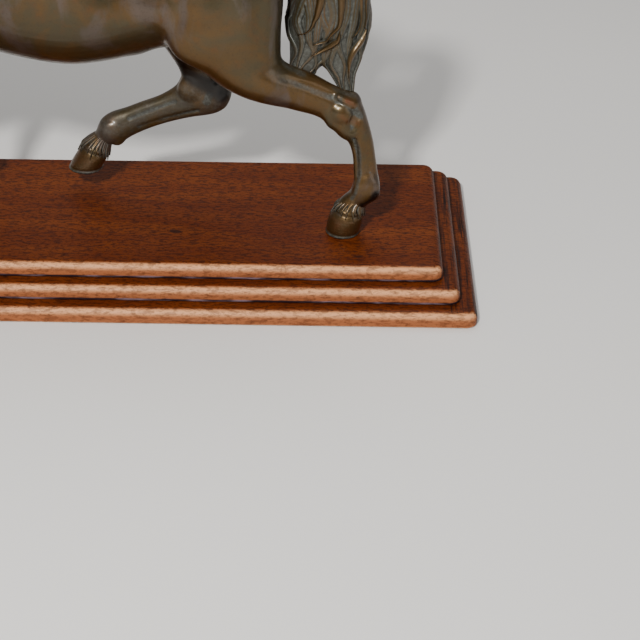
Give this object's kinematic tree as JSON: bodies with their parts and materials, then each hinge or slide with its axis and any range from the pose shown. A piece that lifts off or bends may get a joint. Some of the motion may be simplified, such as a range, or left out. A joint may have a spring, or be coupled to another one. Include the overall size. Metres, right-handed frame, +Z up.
{
  "type": "bronze horse statue",
  "caption": "Cast bronze horse in a high trot, head arched and tail hanging, pinned together from castings and bolted through its standing hooves to a stepped wooden base.",
  "frame": {"origin": "middle of the flat underside of the wooden base", "axes": "+Z up; -X the way the horse faces, along the base; -Y the horse's left side, which is the near side"},
  "size_m": [0.406, 0.1524, 0.301],
  "materials": {
    "bronze": "brown and olive patina, waxed, grey-green in the recesses",
    "base_wood": "red-brown mahogany, satin varnish",
    "steel_fixings": "zinc plated"
  },
  "bodies": {
    "root": {"base_bottom_board": "base_wood", "base_middle_board": "base_wood", "base_top_board": "base_wood", "board_screws": "steel_fixings", "body_casting": "bronze", "neck_casting": "bronze", "head_casting": "bronze", "tail_casting": "bronze", "near_fore_leg": "bronze", "far_fore_leg": "bronze", "near_hind_leg": "bronze", "far_hind_leg": "bronze", "tenon_pins": "bronze", "collar_pins": "bronze", "hoof_studs": "steel_fixings", "stud_washers": "steel_fixings", "stud_nuts": "steel_fixings"}
  },
  "joints": []
}
